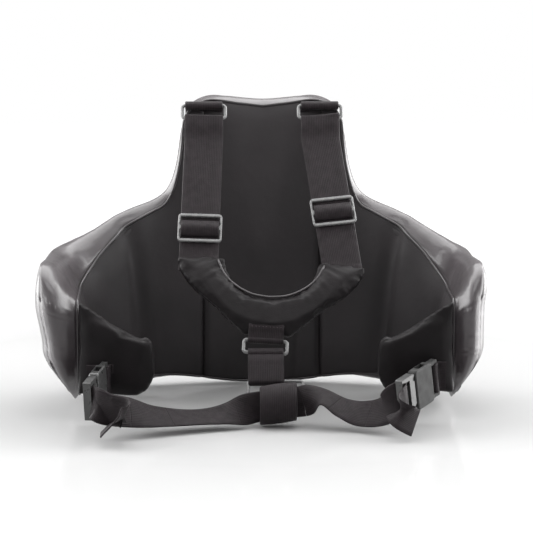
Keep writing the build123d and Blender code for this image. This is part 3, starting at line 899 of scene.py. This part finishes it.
def yoke_profile(x, pairs):
    """Space points at x in ring A's frame from (up the yoke, towards the wearer) pairs."""
    return np.array([RING_A + x * YOKE_X + up * YOKE_Y + level * TO_WEARER for up, level in pairs])


tab_pairs = [(30, 6.5), (22, 9.2), (14, 8.4), (8, 5.4)]
tab_pairs += [(TAB_BEND * cos(a), TAB_BEND * sin(a)) for a in np.radians(np.linspace(60, 300, 9))]
tab_pairs += [(8, -5.5), (14, -8.5), (20, -9.5)]
tab = ribbon("yoke_tab_web", curve_through(yoke_profile(0, tab_pairs), 80), YOKE_X, CENTRE_WEB)
place(tab, webbing, "webbing", "harness", "yoke_tab")
ridge_rows = [yoke_profile(0, [pair]) + np.outer([-19, 0, 19], YOKE_X) for pair in ((14, 9.9), (21, 10.5))]
tab_seams = stitches("yoke_tab_stitches", ridge_rows, TO_WEARER)
place(tab_seams, thread, "webbing", "harness")

slot_pairs = [(STRAP_BEND * sin(a), STRAP_BEND * cos(a)) for a in np.radians(np.linspace(-80, 80, 9))]
slot_pairs += [(-STRAP_RUN * k, STRAP_BEND + 0.8 * sin(pi * k)) for k in (0.25, 0.5, 0.75)]
slot_pairs += [(-STRAP_RUN - STRAP_BEND * sin(a), STRAP_BEND * cos(a))
               for a in np.radians(np.linspace(10, 170, 9))]
slot_pairs += [(-STRAP_RUN * k, -STRAP_BEND) for k in (0.75, 0.5, 0.25)]
strap_points = np.array([STRAP_TOP - along * DOWN + level * TO_WEARER for along, level in slot_pairs])
strap_loop = curve_through(strap_points, 110, closed=True)
centre = ribbon("centre_strap_web", strap_loop, ACROSS, CENTRE_WEB, closed=True)
place(centre, webbing, "webbing", "centre_strap", "centre_strap")

# ---- keeper ----------------------------------------------
KEEPER = np.array([14.0, -154.0, 28.0])
KEEPER_TURN = radians(-7)
KEEPER_AXIS = np.array([cos(KEEPER_TURN), 0, -sin(KEEPER_TURN)])
KEEPER_WIDTH = 45.0
KEEPER_DEEP = 17.0  # half the loop's depth and height
KEEPER_HIGH = 22.0
angles = np.linspace(0, 2 * pi, 90, endpoint=False)
pinch = 1 + 0.035 * np.cos(3 * angles + 0.6)
keeper_loop = [0 * angles, -KEEPER_DEEP * pinch * np.sin(angles), KEEPER_HIGH * pinch * np.cos(angles)]
keeper_path = KEEPER + np.stack(keeper_loop, axis=1)
keeper = ribbon("belt_keeper_web", keeper_path, KEEPER_AXIS, KEEPER_WIDTH, thick=2.6, closed=True, cup=1.2)
place(keeper, webbing, "webbing", "keeper", "belt_keeper")

# ---- wings -----------------------------------------------
WING_Y = -135.0
WING_THICK = 10.0
PATCH_GAP = 10.5  # the patch lies this far in front of the wing's middle
BUCKLE_AT = {"left": np.array([-195.0, -151.5, 58.0]), "right": np.array([203.0, -153.5, 60.0])}
BUCKLE_DIR = {"left": unit([-0.22, -0.95, -0.16]), "right": unit([-0.6, -0.75, -0.2])}


def wing_outline(sign):
    """Closed outline of a wing in the front elevation."""
    top = curve_through([(231, 151), (202, 138), (178, 126), (158, 116), (143, 110)], 16)
    corner = curve_through([(143, 110), (137.5, 105.5), (134.5, 98)], 5)
    inner = curve_through([(134.5, 98), (135, 78), (136, 58)], 8)
    foot = curve_through([(136, 58), (141, 47), (150, 38), (162, 34), (190, 35), (231, 38)], 16)
    line = np.vstack([top[:-1], corner[:-1], inner[:-1], foot])
    return line * (sign, 1) if sign > 0 else (line * (sign, 1))[::-1]


def on_wing(points):
    """Space points of (x, z, level) rows in a wing's plane; level is towards the wearer."""
    return np.column_stack([points[:, 0], WING_Y - points[:, 2], points[:, 1]])


def wing_gather(points):
    """Soft rolls along the wing's top edge and ripples at its root."""
    p = points * 1000 + HEM_MIDDLE
    x = np.abs(p[:, 0])
    top = 110 + (x - 143) * 0.5
    roll = groove(p[:, 2] - top + 9, 5)
    root = smooth_step((x - 196) / 20) * np.sin(p[:, 2] / 5.5)
    return (-0.7 * roll + 0.6 * root + 0.5 * np.sin(x / 13 + p[:, 2] / 19)) / 1000


def buckle_axes(side):
    """Buckle frame: along the buckle, up its width, and its thickness direction."""
    forward = BUCKLE_DIR[side]
    up = unit(np.array([0, 0, 1.0]) - forward * forward[2])
    return forward, up, np.cross(up, forward)


for side, sign in SIDES:
    wing = pad_body(f"{side}_wing_pad", wing_outline(sign), on_wing, WING_THICK)
    settle(wing, *inflate(wing, 4.0, 4.0, 6.0), gather=wing_gather)
    layers = [f"{side}_wing_{layer}" for layer in ("foam", "cover", "back")]
    place(wing, pad_leather, "pad_leather", f"{side}_wing", *layers)
    # Patch: webbing sewn on the wing, round the socket's bar and back.
    at = BUCKLE_AT[side]
    up = buckle_axes(side)[1]
    front_y = WING_Y - PATCH_GAP
    patch_points = [(sign * 218, front_y - 1, at[2]), (sign * 210, front_y - 1, at[2])]
    patch_points += [tuple(at + (sign * BAR_WRAP * cos(a), -BAR_WRAP * sin(a), 0))
                     for a in np.radians(np.linspace(-60, 210, 10))]
    patch_points += [(at[0] - sign * 6, front_y + 1, at[2]), (at[0] - sign * 9, front_y + 2, at[2])]
    patch = ribbon(f"{side}_buckle_patch_web", curve_through(patch_points, 70), up, BELT_WEB)
    place(patch, webbing, "webbing", f"{side}_wing", f"{side}_buckle_patch")

# ---- waist belt and tails --------------------------------
BELT_BAR_AT = 66.5  # along the buckle from the socket's bar to the plug's
MOUTH_AT = 73  # the webbing leaves the plug
PAST_PLUG = 80


def along_buckle(side, along, up=0.0, out=0.0):
    """A point in the buckle's frame."""
    forward, upward, flat = buckle_axes(side)
    return BUCKLE_AT[side] + forward * along + upward * up + flat * out


# The belt's middle line from the left plug to the right: (x, y, z, tilt in degrees).
belt_stops = [
    (*along_buckle("left", BELT_BAR_AT, 0, 3.1), 8),
    (*along_buckle("left", MOUTH_AT, 0, 5.5), 8),
    (*along_buckle("left", PAST_PLUG, 0, 13), 10),
    (-190, -231, 39, 14), (-160, -214, 31, 30), (-125, -190, 21, 60),
    (-80, -170, 16, 72), (-45, -160, 18, 56),
    (-14, -154.5, 24.5, 1), (14, -154.5, 28, 1), (42, -154.5, 31.5, 1),
    (68, -158, 37, 70), (92, -168, 26, 66), (115, -182, 22, 45), (138, -204, 30, 22),
    (*along_buckle("right", MOUTH_AT + 1, 0, -5.0), 10),
    (*along_buckle("right", BELT_BAR_AT, 0, -3.1), 10),
]


def belt_lines(stops, count):
    """Path and width directions of webbing through (x, y, z, tilt) stops."""
    line = curve_through(stops, count)
    path = line[:, :3]
    tangent = tangents_along(path)
    flat = unit(np.stack([tangent[:, 1], -tangent[:, 0], 0 * tangent[:, 0]], axis=1))
    tilt = np.radians(line[:, 3:])
    return path, np.array([0, 0, 1.0]) * np.cos(tilt) - flat * np.sin(tilt)


belt_path, belt_across = belt_lines(belt_stops, 361)
pieces = (
    ("left_end", 0.0, 0.12, ("left_plug", "left_socket")),
    ("left_lead", 0.12, 0.24, ("left_socket", "left_wing")),
    ("left_run", 0.24, 0.42, ("left_wing", "shell")),
    ("middle", 0.42, 0.62, None),
    ("right_run", 0.62, 0.78, ("shell", "right_wing")),
    ("right_lead", 0.78, 0.89, ("right_wing", "right_socket")),
    ("right_end", 0.89, 1.0, ("right_socket", "right_plug")),
)
last_index = len(belt_path) - 1
for label, start, stop, bodies in pieces:
    first, last = round(start * last_index), round(stop * last_index)
    part = slice(first, last + 1)
    piece = ribbon(f"waist_belt_{label}", belt_path[part], belt_across[part], BELT_WEB)
    dress(piece, webbing)
    if bodies:
        near, far = [(belt_path[k] - HEM_MIDDLE) / 1000 for k in (first, last)]
        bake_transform(piece)
    else:
        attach(piece, "shell")
        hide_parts("waist_belt")

TAIL_WRAP = 3.2  # the tail's middle to the plug's bar
TAIL_STOPS = {
    "left": [(-184, -238, 40, 10), (-172, -243, 38, 12), (-167.5, -247.5, 36, 25), (-173, -250, 31.5, 60),
             (-184, -252, 24, 80), (-195, -253, 13, 84)],
    "right": [(156, -228, 38, 14), (158, -232, 30, 28), (166, -233, 24, 34), (173, -233, 20.5, 36)],
}
WRAP_ANGLES = {"left": np.linspace(0, 250, 8), "right": np.linspace(180, 0, 7)}
LEAVES_AT = {"left": 15, "right": 10}  # distance out of the buckle where the tail leaves it
for side in ("left", "right"):
    wrap = [along_buckle(side, BELT_BAR_AT - TAIL_WRAP * sin(a), 0, TAIL_WRAP * cos(a))
            for a in np.radians(WRAP_ANGLES[side])]
    wrap += [along_buckle(side, MOUTH_AT, 0, 8.2), along_buckle(side, PAST_PLUG, 0, LEAVES_AT[side])]
    stops = [(*p, 8) for p in wrap] + TAIL_STOPS[side]
    path, across = belt_lines(stops, 150)
    up = buckle_axes(side)[1]
    near = smooth_step(np.linspace(0, 1, len(path)) * 3 - 0.9)[:, None]
    tail = ribbon(f"{side}_belt_tail_web", path, up * (1 - near) + across * near, BELT_WEB)
    place(tail, webbing, "webbing", f"{side}_plug", f"{side}_belt_tail")

# ---- plastic hardware keeps its designed shape -----------
def finish_of(label):
    """Greyer plastic on the sliders, rings and the right socket, darker on the rest."""
    if label == "right_socket":
        return socket_plastic
    return slider_plastic if "slider" in label or "ring" in label else buckle_plastic


EDGE_ROUNDING = 0.0006  # metres
hardware = ["left_top_ring", "right_top_ring", "left_slider", "right_slider",
            "upper_centre_ring", "lower_centre_ring"]
for side in ("left", "right"):
    hardware += [f"{side}_{part}" for part in ("socket", "plug", "upper_prong", "lower_prong")]
for label in hardware:
    piece = nodes[label]
    dress(piece, finish_of(label))
    soften = piece.modifiers.new("soft_edges", "BEVEL")
    soften.width = EDGE_ROUNDING
    soften.segments = 2
    soften.limit_method = "ANGLE"


# ---- stage -----------------------------------------------
FLOOR_HALF = 6000.0  # millimetres
GLOW_FROM = 0.5  # the floor turns into the white backdrop between these distances, metres
GLOW_TO = 2.2


def plain_floor():
    """Pale plain floor with a faint soft reflection, white far from the object."""
    corners = FLOOR_HALF * np.array([(-1, -1, 0), (1, -1, 0), (1, 1, 0), (-1, 1, 0)], float)
    floor = new_mesh("floor", corners + HEM_MIDDLE, [(0, 1, 2, 3)])
    s = Surface("floor")
    s.colour(s.noise(900, 2), (0.4, 0.4, 0.4), (0.42, 0.42, 0.42))
    s.roughness(s.noise(400, 2), 0.06, 0.1)
    s.bump(s.noise(60, 2), 0.01)
    s.set("Specular IOR Level", 0.8)
    s.set("Emission Color", (1, 1, 1, 1))
    distance = s.node("ShaderNodeVectorMath", operation="LENGTH")
    s.link(s.position(1000), distance.inputs[0])
    glow = s.node("ShaderNodeMapRange")
    glow.inputs["From Min"].default_value = GLOW_FROM
    glow.inputs["From Max"].default_value = GLOW_TO
    s.link(distance.outputs["Value"], glow.inputs["Value"])
    s.link(glow.outputs["Result"], s.shader.inputs["Emission Strength"])
    floor.data.materials.append(s.material)


def softbox(name, stand, target, size, power):
    """A rectangular area light aimed at a point, metres."""
    data = bpy.data.lights.new(name, "AREA")
    data.shape = "RECTANGLE"
    data.size, data.size_y = size
    data.energy = power
    light = bpy.data.objects.new(name, data)
    light.location = stand
    light.rotation_euler = (Vector(target) - Vector(stand)).to_track_quat("-Z", "Y").to_euler()
    bpy.context.scene.collection.objects.link(light)


LENS = 132.0  # millimetres


def camera_from(azimuth, elevation, distance, target):
    """Camera looking at the target; azimuth 0 looks along +Y."""
    a, e = radians(azimuth), radians(elevation)
    direction = Vector((sin(a) * cos(e), cos(a) * cos(e), -sin(e)))
    data = bpy.data.cameras.new("camera")
    data.sensor_width = 36.0
    data.lens = LENS
    data.clip_end = 50
    camera = bpy.data.objects.new("camera", data)
    camera.location = Vector(target) - direction * distance
    camera.rotation_euler = direction.to_track_quat("-Z", "Y").to_euler()
    bpy.context.scene.collection.objects.link(camera)
    bpy.context.scene.camera = camera


def white_backdrop():
    """A world that looks white and gives a weaker light from all round."""
    world = bpy.data.worlds.new("studio")
    world.use_nodes = True
    studio = world.node_tree
    rays = studio.nodes.new("ShaderNodeLightPath")
    strength = studio.nodes.new("ShaderNodeMapRange")
    strength.inputs["To Min"].default_value = 0.25  # soft light from the room
    strength.inputs["To Max"].default_value = 1.0  # white backdrop
    studio.links.new(rays.outputs["Is Camera Ray"], strength.inputs["Value"])
    studio.links.new(strength.outputs["Result"], studio.nodes["Background"].inputs["Strength"])
    studio.nodes["Background"].inputs["Color"].default_value = (1, 1, 1, 1)
    bpy.context.scene.world = world


plain_floor()
white_backdrop()
middle = (0, -0.14, 0.18)
softbox("top_light", (0.0, 0.45, 1.8), middle, (2.8, 1.8), 78)
softbox("left_light", (-1.7, -1.1, 1.0), middle, (0.35, 1.0), 9)
softbox("right_light", (1.7, -1.1, 1.0), middle, (0.35, 1.0), 6)
softbox("left_rim", (-1.6, 0.3, 0.6), middle, (2.0, 1.8), 85)
softbox("right_rim", (1.6, 0.3, 0.6), middle, (2.0, 1.8), 105)
softbox("high_front_light", (0.0, -0.75, 1.25), (0, -0.05, 0.3), (1.0, 0.4), 6)
for side, sign in SIDES:
    softbox(f"{side}_spot", (sign * 0.75, -1.6, 0.95), middle, (0.12, 0.12), 3)
camera_from(azimuth=1.5, elevation=7.5, distance=2.5, target=(0.0038, -0.14, 0.176))
bpy.context.scene.view_settings.view_transform = "Standard"
